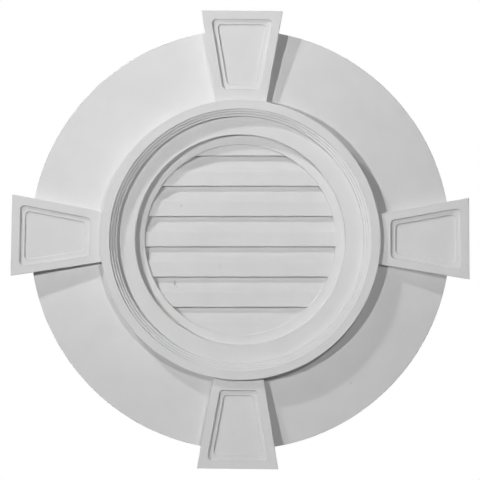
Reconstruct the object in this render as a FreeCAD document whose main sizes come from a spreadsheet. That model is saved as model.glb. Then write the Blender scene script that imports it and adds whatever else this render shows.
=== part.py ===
"""Round gable vent with four keystones, moulded in one piece.

Frame: X to the right, Z up, the wall plane at Y = 0 and the front towards -Y.
The origin is the centre of the vent on the wall plane. Sizes are in millimetres.
"""
import FreeCAD
import Part
import Sketcher
import os
import re

# Driving sizes
SIZES = {
    "overall_span": 762.0,
    "flange_diameter": 699.4,
    "flange_edge_thickness": 25.0,
    "flange_root_thickness": 43.0,
    "ring_diameter": 467.0,
    "ring_projection": 76.0,
    "rim_width": 15.7,
    "fine_step_width": 4.05,
    "fine_step_height": 5.5,
    "band_projection": 46.0,
    "lip_projection": 26.0,
    "lip_width": 16.4,
    "opening_diameter": 317.3,
    "blade_pitch": 50.4,
    "blade_thickness": 6.0,
    "blade_overlap": 4.0,
    "blade_root": 8.0,
    "blade_set_back": 2.0,
    "nose_height": 25.0,
    "nose_projection": 21.0,
    "nose_bend_radius": 7.0,
    "top_nose_reveal": 18.65,
    "keystone_width": 135.8,
    "keystone_side_angle": 9.8,
    "keystone_projection": 63.0,
    "top_keystone_clock": 0.45,
    "right_keystone_clock": 89.7,
    "bottom_keystone_clock": 180.7,
    "left_keystone_clock": 271.2,
    "panel_end_border": 14.9,
    "panel_side_border": 15.0,
    "panel_ring_border": 17.5,
    "panel_ledge": 8.3,
    "panel_ledge_depth": 6.0,
    "panel_floor_drop": 3.8,
    "panel_corner_radius": 6.0,
    "panel_edge_chamfer": 1.4,
    "edge_chamfer": 0.8,
    "fine_edge_chamfer": 0.7,
}

FINE_STEPS = 3
FULL_TURN = 360.0
MATCH = 1e-4

doc = FreeCAD.newDocument("GableVent")
sheet = doc.addObject("Spreadsheet::Sheet", "Sizes")
for row, (alias, value) in enumerate(SIZES.items(), start=1):
    sheet.set(f"A{row}", alias)
    sheet.set(f"B{row}", str(value))
    sheet.setAlias(f"B{row}", alias)
doc.recompute()

body = doc.addObject("PartDesign::Body", "GableVentBody")
body.Label = "gable_vent"


def origin_feature(role):
    """The body's own origin plane or axis with this role."""
    return next(item for item in body.Origin.OriginFeatures if item.Role == role)


def bind(item, name, expression):
    """Tie a property or a constraint to the sizes in the sheet."""
    words = re.compile("[a-z_]+")
    sized = words.sub(lambda word: f"Sizes.{word[0]}" if word[0] in SIZES else word[0], expression)
    item.setExpression(name, sized)


def hold(sketch, side, kind, axis, expression):
    """Hold the start of one side on an axis of the sketch, or at an expression from its origin."""
    if expression == "0":
        sketch.addConstraint(Sketcher.Constraint("PointOnObject", side, 1, axis))
        return
    index = sketch.addConstraint(Sketcher.Constraint(kind, -1, 1, side, 1, 1.0))
    bind(sketch, f"Constraints[{index}]", expression)


def outline(name, plane, corners, in_front="0"):
    """A closed straight-sided outline on an origin plane, or on one set in front of it."""
    sketch = body.newObject("Sketcher::SketchObject", name)
    sketch.AttachmentSupport = [(origin_feature(plane), "")]
    sketch.MapMode = "FlatFace"
    bind(sketch, ".AttachmentOffset.Base.z", in_front)
    count = len(corners)
    # The sides start on a rough curve: each corner's own two expressions then place it.
    rough = [FreeCAD.Vector(corner, corner * corner, 0) for corner in range(count)]
    for side in range(count):
        sketch.addGeometry(Part.LineSegment(rough[side], rough[(side + 1) % count]), False)
    for side in range(count):
        sketch.addConstraint(Sketcher.Constraint("Coincident", side, 2, (side + 1) % count, 1))
    for side, (across, up) in enumerate(corners):
        hold(sketch, side, "DistanceX", -2, across)
        hold(sketch, side, "DistanceY", -1, up)
    return sketch


def feature(kind, name, sketch, **expressions):
    """A body feature made from a sketch, with its sizes tied to the sheet."""
    item = body.newObject(f"PartDesign::{kind}", name)
    item.Profile = sketch
    for key, expression in expressions.items():
        bind(item, key, expression)
    return item


# Flange, ring, steps, band and lip: one turned profile, listed from the opening's back corner
opening_radius = "opening_diameter / 2"
ring_radius = "ring_diameter / 2"
lip_radius = f"{opening_radius} + lip_width"
step_radii = [f"{ring_radius} - rim_width - {step} * fine_step_width" for step in range(FINE_STEPS + 1)]
step_levels = [f"-ring_projection + {step} * fine_step_height" for step in range(FINE_STEPS + 1)]
step_feet = step_levels[1:] + ["-band_projection"]

profile = [
    (opening_radius, "0"),
    ("flange_diameter / 2", "0"),
    ("flange_diameter / 2", "-flange_edge_thickness"),
    (ring_radius, "-flange_root_thickness"),
    (ring_radius, "-ring_projection"),
]
for radius, level, foot in zip(step_radii, step_levels, step_feet):
    profile += [(radius, level), (radius, foot)]
profile += [
    (lip_radius, "-band_projection"),
    (lip_radius, "-lip_projection"),
    (opening_radius, "-lip_projection"),
]
frame_profile = outline("FrameProfile", "XY_Plane", profile)
frame = feature("Revolution", "Frame", frame_profile)
frame.ReferenceAxis = (frame_profile, ["V_Axis"])
frame.Angle = FULL_TURN

# Louvre blade: an upright nose with a slope behind it that rises past the next nose's lower edge
nose_low = f"({opening_radius} - top_nose_reveal)"
slope_top = f"({nose_low} + blade_pitch + blade_overlap)"
slope_angle = "atan((blade_pitch + blade_overlap - nose_height) / (nose_projection - blade_set_back))"
slope_drop = f"(blade_thickness / cos({slope_angle}))"
nose_back = "-nose_projection + blade_thickness"
inner_bend = f"{nose_low} + nose_height + blade_thickness * tan({slope_angle}) - {slope_drop}"

blade_profile = outline("BladeProfile", "YZ_Plane", [
    ("-nose_projection", nose_low),
    ("-nose_projection", f"{nose_low} + nose_height"),
    ("-blade_set_back", slope_top),
    ("-blade_set_back", f"{slope_top} - {slope_drop}"),
    (nose_back, inner_bend),
    (nose_back, nose_low),
])
blade = feature("Pad", "Blade", blade_profile, Length="opening_diameter + 2 * blade_root")
blade.SideType = "Symmetric"

# Blades go down the opening until a nose reaches past its lowest point
blade_steps = f"ceil(({nose_low} + {opening_radius}) / blade_pitch)"
louvre = body.newObject("PartDesign::LinearPattern", "Louvre")
louvre.Originals = [blade]
louvre.Direction = (origin_feature("Z_Axis"), [""])
louvre.Reversed = True
bind(louvre, "Length", f"blade_pitch * {blade_steps}")
bind(louvre, "Occurrences", f"{blade_steps} + 1")
body.Tip = louvre
doc.recompute()


def wedge(low, high, inset, clock):
    """Corners of a shape with the keystone's taper between two radii, set in from its sides.

    The shape is laid out upright and then turned to its clock angle, clockwise from the top.
    """
    side = f"keystone_width / 2 - ({inset}) / cos(keystone_side_angle)"
    head = f"({side} - tan(keystone_side_angle) * (overall_span / 2 - ({high})))"
    foot = f"({side} - tan(keystone_side_angle) * (overall_span / 2 - ({low})))"
    upright = [(f"-{foot}", low), (foot, low), (head, high), (f"-{head}", high)]
    turned = []
    for across, up in upright:
        right = f"{across} * cos({clock}) + ({up}) * sin({clock})"
        top = f"({up}) * cos({clock}) - {across} * sin({clock})"
        turned.append((right, top))
    return turned


def add_keystone(place):
    """One keystone, rooted in the ring, with a panel sunk in its face in two steps."""
    clock = f"{place.lower()}_keystone_clock"
    block = wedge(f"{ring_radius} - rim_width / 2", "overall_span / 2", "0", clock)
    block_outline = outline(f"{place}KeystoneOutline", "XZ_Plane", block)
    feature("Pad", f"{place}Keystone", block_outline, Length="keystone_projection")
    depths = ("panel_ledge_depth", "panel_ledge_depth + panel_floor_drop")
    for step, (name, depth) in enumerate(zip(("PanelLedge", "PanelFloor"), depths)):
        ledge = f"{step} * panel_ledge"
        low = f"{ring_radius} + panel_ring_border + {ledge}"
        high = f"overall_span / 2 - panel_end_border - {ledge}"
        sunk = wedge(low, high, f"panel_side_border + {ledge}", clock)
        sunk_outline = outline(f"{place}{name}Outline", "XZ_Plane", sunk, in_front="keystone_projection")
        panel = feature("Pocket", f"{place}{name}", sunk_outline, Length=depth)
        panels.append(panel)


# Each keystone sits a little off its axis, so each has its own clock angle
panels = []
for place in ("Top", "Right", "Bottom", "Left"):
    add_keystone(place)
doc.recompute()
keystones = panels[-1]


def same(first, second):
    """Whether two lengths agree."""
    return abs(first - second) < MATCH


def edges_where(shape, wanted):
    """Names of the shape's edges that pass a test."""
    return [f"Edge{number}" for number, edge in enumerate(shape.Edges, start=1) if wanted(shape, edge)]


def both_ends_out(edge, projection):
    """Whether an edge lies at this distance from the wall plane."""
    return all(same(-vertex.Point.y, projection) for vertex in edge.Vertexes)


def turned_edge(places):
    """A test for the edges of the turned frame at the given radius and projection pairs."""
    def wanted(shape, edge):
        if not isinstance(edge.Curve, Part.Circle):
            return False
        radius = edge.Curve.Radius
        projection = -edge.Curve.Center.y
        return any(same(radius, place[0]) and same(projection, place[1]) for place in places)
    return wanted


def panel_levels():
    """How far a panel's rim, ledge and floor stand from the wall plane."""
    ledge = sheet.keystone_projection - sheet.panel_ledge_depth
    return [sheet.keystone_projection, ledge, ledge - sheet.panel_floor_drop]


def is_panel_wall(face):
    """Whether a face stands between a panel's rim and ledge, or between its ledge and floor."""
    projections = [-vertex.Point.y for vertex in face.Vertexes]
    levels = panel_levels()
    return any(
        same(max(projections), front) and same(min(projections), back)
        for front, back in zip(levels, levels[1:])
    )


def panel_corner(shape, edge):
    """A short edge that stands in a corner of a sunk panel."""
    if not isinstance(edge.Curve, Part.Line) or not same(abs(edge.Curve.Direction.y), 1):
        return False
    return all(is_panel_wall(face) for face in shape.ancestorsOfType(edge, Part.Face))


def panel_rim(shape, edge):
    """An edge along the front of a panel's wall."""
    walls = [face for face in shape.ancestorsOfType(edge, Part.Face) if is_panel_wall(face)]
    fronts = [max(-vertex.Point.y for vertex in wall.Vertexes) for wall in walls]
    return any(both_ends_out(edge, front) for front in fronts)


def nose_edge(height):
    """A test for the edges along the front of the noses at this height above their lower edges."""
    def wanted(shape, edge):
        if not isinstance(edge.Curve, Part.Line) or not both_ends_out(edge, sheet.nose_projection):
            return False
        first = sheet.opening_diameter / 2 - sheet.top_nose_reveal + height
        pitches = (first - edge.Vertexes[0].Point.z) / sheet.blade_pitch
        return same(pitches, round(pitches))
    return wanted


def keystone_edge(shape, edge):
    """An edge between a keystone's face and a side of it that reaches the wall plane."""
    if not isinstance(edge.Curve, Part.Line) or not both_ends_out(edge, sheet.keystone_projection):
        return False
    return any(same(face.BoundBox.YMax, 0) for face in shape.ancestorsOfType(edge, Part.Face))


def finish_edges(kind, name, base, edges, **sizes):
    """Round or chamfer edges of the feature before."""
    item = body.newObject(f"PartDesign::{kind}", name)
    item.Base = (base, edges)
    for key, expression in sizes.items():
        bind(item, key, expression)
    doc.recompute()
    return item


panel_corners = finish_edges(
    "Fillet", "PanelCorners", keystones, edges_where(keystones.Shape, panel_corner),
    Radius="panel_corner_radius")
panel_rims = finish_edges(
    "Chamfer", "PanelRims", panel_corners, edges_where(panel_corners.Shape, panel_rim),
    Size="min(panel_edge_chamfer; panel_ledge_depth / 2; panel_floor_drop / 2)")
nose_bends = finish_edges(
    "Fillet", "NoseBends", panel_rims, edges_where(panel_rims.Shape, nose_edge(sheet.nose_height)),
    Radius="nose_bend_radius")

step_top = (sheet.ring_diameter / 2 - sheet.rim_width, sheet.ring_projection)
step_places = [
    (step_top[0] - step * sheet.fine_step_width, step_top[1] - step * sheet.fine_step_height)
    for step in range(FINE_STEPS + 1)
]
fine_edges = finish_edges(
    "Chamfer", "FineEdges", nose_bends, edges_where(nose_bends.Shape, turned_edge(step_places)),
    Size="min(fine_edge_chamfer; fine_step_width / 3; fine_step_height / 3)")

frame_places = [
    (sheet.flange_diameter / 2, sheet.flange_edge_thickness),
    (sheet.ring_diameter / 2, sheet.ring_projection),
    (sheet.opening_diameter / 2 + sheet.lip_width, sheet.band_projection),
    (sheet.opening_diameter / 2, sheet.lip_projection),
]
plain_edges = [
    edge
    for wanted in (turned_edge(frame_places), nose_edge(0), keystone_edge)
    for edge in edges_where(fine_edges.Shape, wanted)
]
edges = finish_edges("Chamfer", "Edges", fine_edges, plain_edges, Size="edge_chamfer")
body.Tip = edges
doc.recompute()

for item in doc.Objects:
    if "Invalid" in item.State or "Error" in item.State:
        raise RuntimeError(f"{item.Name} failed: {item.State}")
for panel in panels:
    if panel.Shape.Volume >= panel.BaseFeature.Shape.Volume:
        raise RuntimeError(f"{panel.Name} cuts nothing")
if body.Shape.isNull() or not body.Shape.isValid():
    raise RuntimeError("the vent's shape is not sound")

os.makedirs("parts", exist_ok=True)
body.Shape.exportStep(os.path.join("parts", f"{body.Label}.step"))
print(f"{body.Label}: {len(body.Shape.Solids)} solid, {body.Shape.Volume / 1e6:.3f} litres")
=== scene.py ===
# %% [markdown]
# # A round gable vent in white primer
#
# The vent is one moulding: a wide sloping flange, a stepped ring, four panelled
# keystones and fixed louvre blades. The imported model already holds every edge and
# step of it at real size, so the mesh is shown as it is. This lesson gives it what
# a solid model lacks: a coat of primer, three lamps, a backdrop and a camera.

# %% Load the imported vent
import math

import bpy
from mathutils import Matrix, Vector


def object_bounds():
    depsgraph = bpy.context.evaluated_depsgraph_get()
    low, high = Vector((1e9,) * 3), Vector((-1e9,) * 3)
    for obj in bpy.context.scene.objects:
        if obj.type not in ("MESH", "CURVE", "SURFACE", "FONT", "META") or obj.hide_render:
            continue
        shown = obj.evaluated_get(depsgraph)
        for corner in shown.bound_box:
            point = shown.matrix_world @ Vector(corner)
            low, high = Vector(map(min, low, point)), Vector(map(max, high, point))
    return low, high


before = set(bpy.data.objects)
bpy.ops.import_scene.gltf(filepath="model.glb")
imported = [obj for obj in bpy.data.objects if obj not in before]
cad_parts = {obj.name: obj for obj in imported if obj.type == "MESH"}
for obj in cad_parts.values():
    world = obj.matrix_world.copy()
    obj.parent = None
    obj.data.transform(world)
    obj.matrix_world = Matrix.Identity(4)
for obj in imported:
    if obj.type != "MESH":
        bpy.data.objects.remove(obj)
cad_low, cad_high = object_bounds()
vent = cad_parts["gable_vent"]
span = cad_high.x - cad_low.x
print("vent", vent.name, "span", round(span, 4), "m,", len(vent.data.polygons), "faces")

# %% [markdown]
# ## Helpers for node trees
#
# A finish is a small tree of nodes. Blender makes it with many short calls, one for
# each node, value and wire. A few helpers keep those calls readable: they add a node
# with its inputs filled in, draw a wire between two named sockets, and make or place
# a node group.

# %% Node helpers


def add_node(tree, kind, **values):
    """One node, with its inputs set by socket name."""
    node = tree.nodes.new(kind)
    for name, value in values.items():
        node.inputs[name.replace("_", " ")].default_value = value
    return node


def join(tree, source, output, target, entry):
    """A wire from an output to an input, each given by its name or its place."""
    tree.links.new(source.outputs[output], target.inputs[entry])


def make_group(name, inputs, outputs):
    """An empty node group with its sockets, and its two end nodes."""
    tree = bpy.data.node_groups.new(name, "ShaderNodeTree")
    for label, kind in inputs.items():
        tree.interface.new_socket(name=label, in_out="INPUT", socket_type=kind)
    for label, kind in outputs.items():
        tree.interface.new_socket(name=label, in_out="OUTPUT", socket_type=kind)
    return tree, tree.nodes.new("NodeGroupInput"), tree.nodes.new("NodeGroupOutput")


def place_group(tree, group):
    """A node that holds a group."""
    node = tree.nodes.new("ShaderNodeGroup")
    node.node_tree = group
    return node


def math_node(tree, operation):
    """A Math node for one operation."""
    node = tree.nodes.new("ShaderNodeMath")
    node.operation = operation
    return node


NUMBER = "NodeSocketFloat"
VECTOR = "NodeSocketVector"
print("node helpers ready")

# %% [markdown]
# ## The coat: drift and peel
#
# Sprayed primer is never quite even. Over a hand's width its tone drifts a little
# with the thickness of the coat, and close up it dries with an orange peel about a
# millimetre wide. An image of paint could show both, but it would stretch over the
# steep walls. Noise in the object's own metres has the same scale on every face,
# so the effect is a group with two noises, which takes the size of each in metres.

# %% Coat group
PATCH_DETAIL = 3.0
PEEL_DETAIL = 1.0


def noise_of_size(tree, start, size_socket, detail):
    """A noise whose features are about as wide as a size in metres."""
    per_metre = math_node(tree, "DIVIDE")
    per_metre.inputs[0].default_value = 1.0
    join(tree, start, size_socket, per_metre, 1)
    noise = add_node(tree, "ShaderNodeTexNoise", Detail=detail)
    join(tree, start, "Position", noise, "Vector")
    join(tree, per_metre, "Value", noise, "Scale")
    return noise


def coat_group():
    """Slow drift and fine peel of a sprayed coat."""
    inputs = {"Position": VECTOR, "Patch size": NUMBER, "Peel size": NUMBER}
    tree, start, end = make_group("sprayed_coat", inputs, {"Drift": NUMBER, "Peel": NUMBER})
    patches = noise_of_size(tree, start, "Patch size", PATCH_DETAIL)
    peel = noise_of_size(tree, start, "Peel size", PEEL_DETAIL)
    join(tree, patches, "Fac", end, "Drift")
    join(tree, peel, "Fac", end, "Peel")
    return tree


sprayed_coat = coat_group()
print("group", sprayed_coat.name, "with", len(sprayed_coat.nodes), "nodes")

# %% [markdown]
# ## Nicks and specks
#
# A foam moulding bruises easily. This one has a nick on the slope of a blade and a
# few faint specks. Cutting them into the mesh would take many tiny faces, so each is
# a small ragged spot in the coat. One group makes a spot from its centre and half
# sizes in metres, and noise breaks up its outline. The vent places the group once
# for each mark.

# %% Mark group
RAGGED_SIZE = 0.0016
RAGGED_DETAIL = 1.0
RAGGED_SHARE = 0.9
SPOT_EDGE = 1.4
SPOT_MIDDLE = 0.8


def mark_group():
    """A ragged spot: 1 at its middle, 0 outside it."""
    inputs = {"Position": VECTOR, "Centre": VECTOR, "Half size": VECTOR}
    tree, start, end = make_group("small_mark", inputs, {"Mask": NUMBER})
    offset = tree.nodes.new("ShaderNodeVectorMath")
    offset.operation = "SUBTRACT"
    join(tree, start, "Position", offset, 0)
    join(tree, start, "Centre", offset, 1)
    scaled = tree.nodes.new("ShaderNodeVectorMath")
    scaled.operation = "DIVIDE"
    join(tree, offset, "Vector", scaled, 0)
    join(tree, start, "Half size", scaled, 1)
    reach = tree.nodes.new("ShaderNodeVectorMath")
    reach.operation = "LENGTH"
    join(tree, scaled, "Vector", reach, 0)
    ragged = add_node(tree, "ShaderNodeTexNoise", Scale=1.0 / RAGGED_SIZE, Detail=RAGGED_DETAIL)
    join(tree, start, "Position", ragged, "Vector")
    uneven = math_node(tree, "MULTIPLY_ADD")
    uneven.inputs[1].default_value = RAGGED_SHARE
    join(tree, ragged, "Fac", uneven, 0)
    join(tree, reach, "Value", uneven, 2)
    spot = add_node(tree, "ShaderNodeMapRange", From_Min=SPOT_EDGE, From_Max=SPOT_MIDDLE)
    spot.interpolation_type = "SMOOTHSTEP"
    join(tree, uneven, "Value", spot, "Value")
    join(tree, spot, "Result", end, "Mask")
    return tree


small_mark = mark_group()
print("group", small_mark.name, "with", len(small_mark.nodes), "nodes")

# %% [markdown]
# ## White primer
#
# The coat is a neutral matt white, made to be painted over. One flat colour would
# look like plain plastic, so its tone and roughness follow the drift, the peel and
# the marks feed a very shallow bump, and the marks are a little darker than the
# coat. The gloss of primer is the same all over, so the specular level is set on the
# shader itself.

# %% Primer material
PRIMER_THIN = (0.665, 0.665, 0.665, 1.0)
PRIMER_FULL = (0.695, 0.695, 0.695, 1.0)
# A darker grey that the coat takes at each mark, mixed in by the mark's strength.
MARK_DARK_GREY = (0.36, 0.36, 0.36, 1.0)
THIN_DRIFT = 0.3
FULL_DRIFT = 0.7
PATCH_SIZE = 0.045
PEEL_SIZE = 0.0012
THIN_ROUGHNESS = 0.64
FULL_ROUGHNESS = 0.52
COAT_SPECULAR = 0.1
PEEL_DEPTH = 0.00003
MARK_DEPTH = 0.0006

# Each mark has its centre, half size and strength. The half size along Y only
# reaches the front face that the mark is on.
MARKS = {
    "nick": ((-0.1087, -0.025, -0.0720), (0.0034, 0.03, 0.0068), 0.8),
    "nick_tail": ((-0.1060, -0.025, -0.0784), (0.0016, 0.03, 0.0030), 0.35),
    "blade_speck": ((-0.0986, -0.025, 0.0562), (0.0032, 0.03, 0.0030), 0.3),
    "middle_speck": ((-0.0345, -0.025, -0.0440), (0.0040, 0.03, 0.0070), 0.12),
    "flange_speck": ((0.1840, -0.035, -0.2380), (0.0030, 0.03, 0.0030), 0.4),
    "ring_speck": ((-0.0405, -0.060, -0.2263), (0.0018, 0.03, 0.0018), 0.25),
}

# A Mix node lists its sockets once for each kind of data, and these are the colours.
MIX_A, MIX_B, MIX_RESULT = 6, 7, 2


def all_marks(tree, place):
    """The marks of the vent, added into one mask."""
    total = None
    for centre, half_size, strength in MARKS.values():
        mark = place_group(tree, small_mark)
        mark.inputs["Centre"].default_value = centre
        mark.inputs["Half size"].default_value = half_size
        join(tree, place, "Object", mark, "Position")
        faded = math_node(tree, "MULTIPLY_ADD")
        faded.inputs[1].default_value = strength
        faded.inputs[2].default_value = 0.0
        join(tree, mark, "Mask", faded, 0)
        if total is not None:
            join(tree, total, "Value", faded, 2)
        total = faded
    return total


def white_primer():
    """Sprayed white primer on moulded foam."""
    material = bpy.data.materials.new("white_primer")
    material.use_nodes = True
    tree = material.node_tree
    shader = tree.nodes["Principled BSDF"]
    shader.inputs["Specular IOR Level"].default_value = COAT_SPECULAR

    place = tree.nodes.new("ShaderNodeTexCoord")
    coat = place_group(tree, sprayed_coat)
    coat.inputs["Patch size"].default_value = PATCH_SIZE
    coat.inputs["Peel size"].default_value = PEEL_SIZE
    join(tree, place, "Object", coat, "Position")
    marks = all_marks(tree, place)

    tone = tree.nodes.new("ShaderNodeValToRGB")
    tone.color_ramp.elements[0].position = THIN_DRIFT
    tone.color_ramp.elements[0].color = PRIMER_THIN
    tone.color_ramp.elements[1].position = FULL_DRIFT
    tone.color_ramp.elements[1].color = PRIMER_FULL
    join(tree, coat, "Drift", tone, "Fac")
    marked = tree.nodes.new("ShaderNodeMix")
    marked.data_type = "RGBA"
    marked.inputs[MIX_B].default_value = MARK_DARK_GREY
    join(tree, marks, "Value", marked, "Factor")
    join(tree, tone, "Color", marked, MIX_A)
    join(tree, marked, MIX_RESULT, shader, "Base Color")

    dull = add_node(tree, "ShaderNodeMapRange", To_Min=THIN_ROUGHNESS, To_Max=FULL_ROUGHNESS)
    join(tree, coat, "Drift", dull, "Value")
    join(tree, dull, "Result", shader, "Roughness")

    peel = add_node(tree, "ShaderNodeBump", Distance=PEEL_DEPTH)
    join(tree, coat, "Peel", peel, "Height")
    gouge = add_node(tree, "ShaderNodeBump", Distance=MARK_DEPTH)
    gouge.invert = True
    join(tree, marks, "Value", gouge, "Height")
    join(tree, peel, "Normal", gouge, "Normal")
    join(tree, gouge, "Normal", shader, "Normal")
    return material


vent.data.materials[0] = white_primer()
print("finish", vent.data.materials[0].name, "with", len(MARKS), "marks")

# %% [markdown]
# ## Camera
#
# The vent is seen square on, as on a wall. Walls that stand straight out of the
# flange hide behind their own edges, which only a long lens from far away shows, so
# the camera stands 20 m off. The lens then follows from the size of one pixel on
# the faces of the keystones.

# %% Camera
FRAME_PIXELS = 480.0
SPAN_PIXELS = 459.1
CENTRE_PIXEL = (240.3, 239.8)
CAMERA_DISTANCE = 20.0
KEYSTONE_FACE = -0.063
SENSOR_WIDTH = 36.0
CLIP_END = 100.0

pixel = span / SPAN_PIXELS
lens = bpy.data.cameras.new("front_view")
lens.sensor_width = SENSOR_WIDTH
lens.lens = SENSOR_WIDTH * CAMERA_DISTANCE / (FRAME_PIXELS * pixel)
lens.clip_end = CLIP_END
camera = bpy.data.objects.new("front_view", lens)
bpy.context.scene.collection.objects.link(camera)
middle = FRAME_PIXELS / 2
camera.location.x = (middle - CENTRE_PIXEL[0]) * pixel
camera.location.y = KEYSTONE_FACE - CAMERA_DISTANCE
camera.location.z = (CENTRE_PIXEL[1] - middle) * pixel
camera.rotation_euler = (math.radians(90), 0, 0)
bpy.context.scene.camera = camera
print("lens", round(lens.lens), "mm, one pixel", round(pixel * 1000, 3), "mm")

# %% [markdown]
# ## Three lamps
#
# White relief on white only reads by its shadows, and these show three lamps. A
# hard key lamp from the left, a little above the middle, draws the short dark edges
# to the right of each step. A raking lamp from the upper left throws the long faint
# shadow of the ring and brightens the slopes that look up. A hard front lamp, nearly
# square on, lifts every face. The first two are narrow beams aimed past the middle
# of the vent, so that the side near them is brighter. The three add up to about 1,
# so the primer renders about as it is written.

# %% Lamps


def lamp(name, towards, distance, size, watts, aim=(0.0, 0.0, 0.0), spread=180.0):
    """A square lamp in a direction from the vent's centre, which looks at its aim."""
    light = bpy.data.lights.new(name, "AREA")
    light.size = size
    light.energy = watts
    light.spread = math.radians(spread)
    place = bpy.data.objects.new(name, light)
    bpy.context.scene.collection.objects.link(place)
    place.location = Vector(towards).normalized() * distance
    place.rotation_euler = (place.location - Vector(aim)).to_track_quat("Z", "Y").to_euler()
    print(name, watts, "W at", [round(v, 2) for v in place.location])


lamp("raking_lamp", towards=(-0.86, -1.0, 1.03), distance=4.0, size=0.25, watts=5.0,
     aim=(-0.08, 0.0, 0.22), spread=57.0)
lamp("key_lamp", towards=(-0.42, -1.0, 0.09), distance=6.0, size=0.06, watts=16.8,
     aim=(0.0, 0.0, 0.5), spread=61.0)
lamp("front_lamp", towards=(0.12, -1.0, 0.14), distance=4.0, size=0.06, watts=36.6)

# %% [markdown]
# ## The studio around it
#
# The backdrop is pure white, but white all round would fill the dark edges with
# light. So the world answers two questions. What the camera or a reflection sees is
# white at strength 1. What lights the vent is a glow that starts a little in front
# of its edge and grows towards the back, so that the sides and the back are lit in
# other views and the front keeps its shadows.

# %% World
WHITE = (1.0, 1.0, 1.0, 1.0)
GLOW_BACK = 0.65
GLOW_START = -0.15
GLOW_FULL = 0.45

world = bpy.data.worlds.new("studio")
bpy.context.scene.world = world
world.use_nodes = True
sky = world.node_tree
sky.nodes.clear()


def seen_ray(tree):
    """1 for what the camera, a reflection or clear glass shows, 0 for light."""
    path = tree.nodes.new("ShaderNodeLightPath")
    mirrored = math_node(tree, "MAXIMUM")
    join(tree, path, "Is Camera Ray", mirrored, 0)
    join(tree, path, "Is Glossy Ray", mirrored, 1)
    shown = math_node(tree, "MAXIMUM")
    join(tree, mirrored, "Value", shown, 0)
    join(tree, path, "Is Transmission Ray", shown, 1)
    return shown


shown = seen_ray(sky)
direction = sky.nodes.new("ShaderNodeTexCoord")
parts = sky.nodes.new("ShaderNodeSeparateXYZ")
join(sky, direction, "Generated", parts, "Vector")
glow = add_node(sky, "ShaderNodeMapRange", From_Min=GLOW_START, From_Max=GLOW_FULL, To_Max=GLOW_BACK)
join(sky, parts, "Y", glow, "Value")
strength = math_node(sky, "MAXIMUM")
join(sky, glow, "Result", strength, 0)
join(sky, shown, "Value", strength, 1)
background = add_node(sky, "ShaderNodeBackground", Color=WHITE)
join(sky, strength, "Value", background, "Strength")
output = sky.nodes.new("ShaderNodeOutputWorld")
join(sky, background, "Background", output, "Surface")
bpy.context.scene.view_settings.view_transform = "Standard"
print("glow up to", GLOW_BACK, "behind the vent")

# %% [markdown]
# ## Floor
#
# A vent hangs on a wall, so the floor lies well below it and out of the front view.
# It is a round pale board, and its tone takes the slow drift of the sprayed coat at a
# coarser scale. Towards its rim it fades into the white backdrop for the camera,
# while its middle keeps the vent's shadow.

# %% Floor
FLOOR_HEIGHT = -1.2
FLOOR_RADIUS = 1.4
FLOOR_SIDES = 96
FLOOR_THIN = (0.80, 0.80, 0.80, 1.0)
FLOOR_FULL = (0.84, 0.84, 0.84, 1.0)
FLOOR_ROUGHNESS = 0.8
FLOOR_PATCH = 0.3
FADE_START = 0.35
FLOOR_LIFT = 0.55


def floor_paint():
    """Pale floor paint that fades to white at the rim for the camera."""
    material = bpy.data.materials.new("floor_paint")
    material.use_nodes = True
    tree = material.node_tree
    shader = tree.nodes["Principled BSDF"]
    shader.inputs["Roughness"].default_value = FLOOR_ROUGHNESS
    shader.inputs["Specular IOR Level"].default_value = COAT_SPECULAR

    place = tree.nodes.new("ShaderNodeTexCoord")
    coat = place_group(tree, sprayed_coat)
    coat.inputs["Patch size"].default_value = FLOOR_PATCH
    join(tree, place, "Object", coat, "Position")
    tone = tree.nodes.new("ShaderNodeValToRGB")
    tone.color_ramp.elements[0].color = FLOOR_THIN
    tone.color_ramp.elements[1].color = FLOOR_FULL
    join(tree, coat, "Drift", tone, "Fac")
    join(tree, tone, "Color", shader, "Base Color")

    out = tree.nodes.new("ShaderNodeVectorMath")
    out.operation = "LENGTH"
    join(tree, place, "Object", out, 0)
    fade = add_node(tree, "ShaderNodeMapRange", From_Min=FADE_START, From_Max=FLOOR_RADIUS)
    fade.inputs["To Min"].default_value = FLOOR_LIFT
    fade.interpolation_type = "SMOOTHSTEP"
    join(tree, out, "Value", fade, "Value")
    veil = math_node(tree, "MULTIPLY")
    join(tree, fade, "Result", veil, 0)
    join(tree, seen_ray(tree), "Value", veil, 1)
    white = add_node(tree, "ShaderNodeEmission", Color=WHITE, Strength=1.0)
    mix = tree.nodes.new("ShaderNodeMixShader")
    join(tree, veil, "Value", mix, 0)
    join(tree, shader, "BSDF", mix, 1)
    join(tree, white, "Emission", mix, 2)
    join(tree, mix, "Shader", tree.nodes["Material Output"], "Surface")
    return material


board = bpy.data.meshes.new("floor")
turns = [math.tau * side / FLOOR_SIDES for side in range(FLOOR_SIDES)]
rim = [(FLOOR_RADIUS * math.cos(turn), FLOOR_RADIUS * math.sin(turn), 0.0) for turn in turns]
board.from_pydata(rim, [], [range(FLOOR_SIDES)])
board.materials.append(floor_paint())
floor = bpy.data.objects.new("floor", board)
floor.location.z = FLOOR_HEIGHT
bpy.context.scene.collection.objects.link(floor)
print("floor at", FLOOR_HEIGHT, "m, radius", FLOOR_RADIUS, "m")
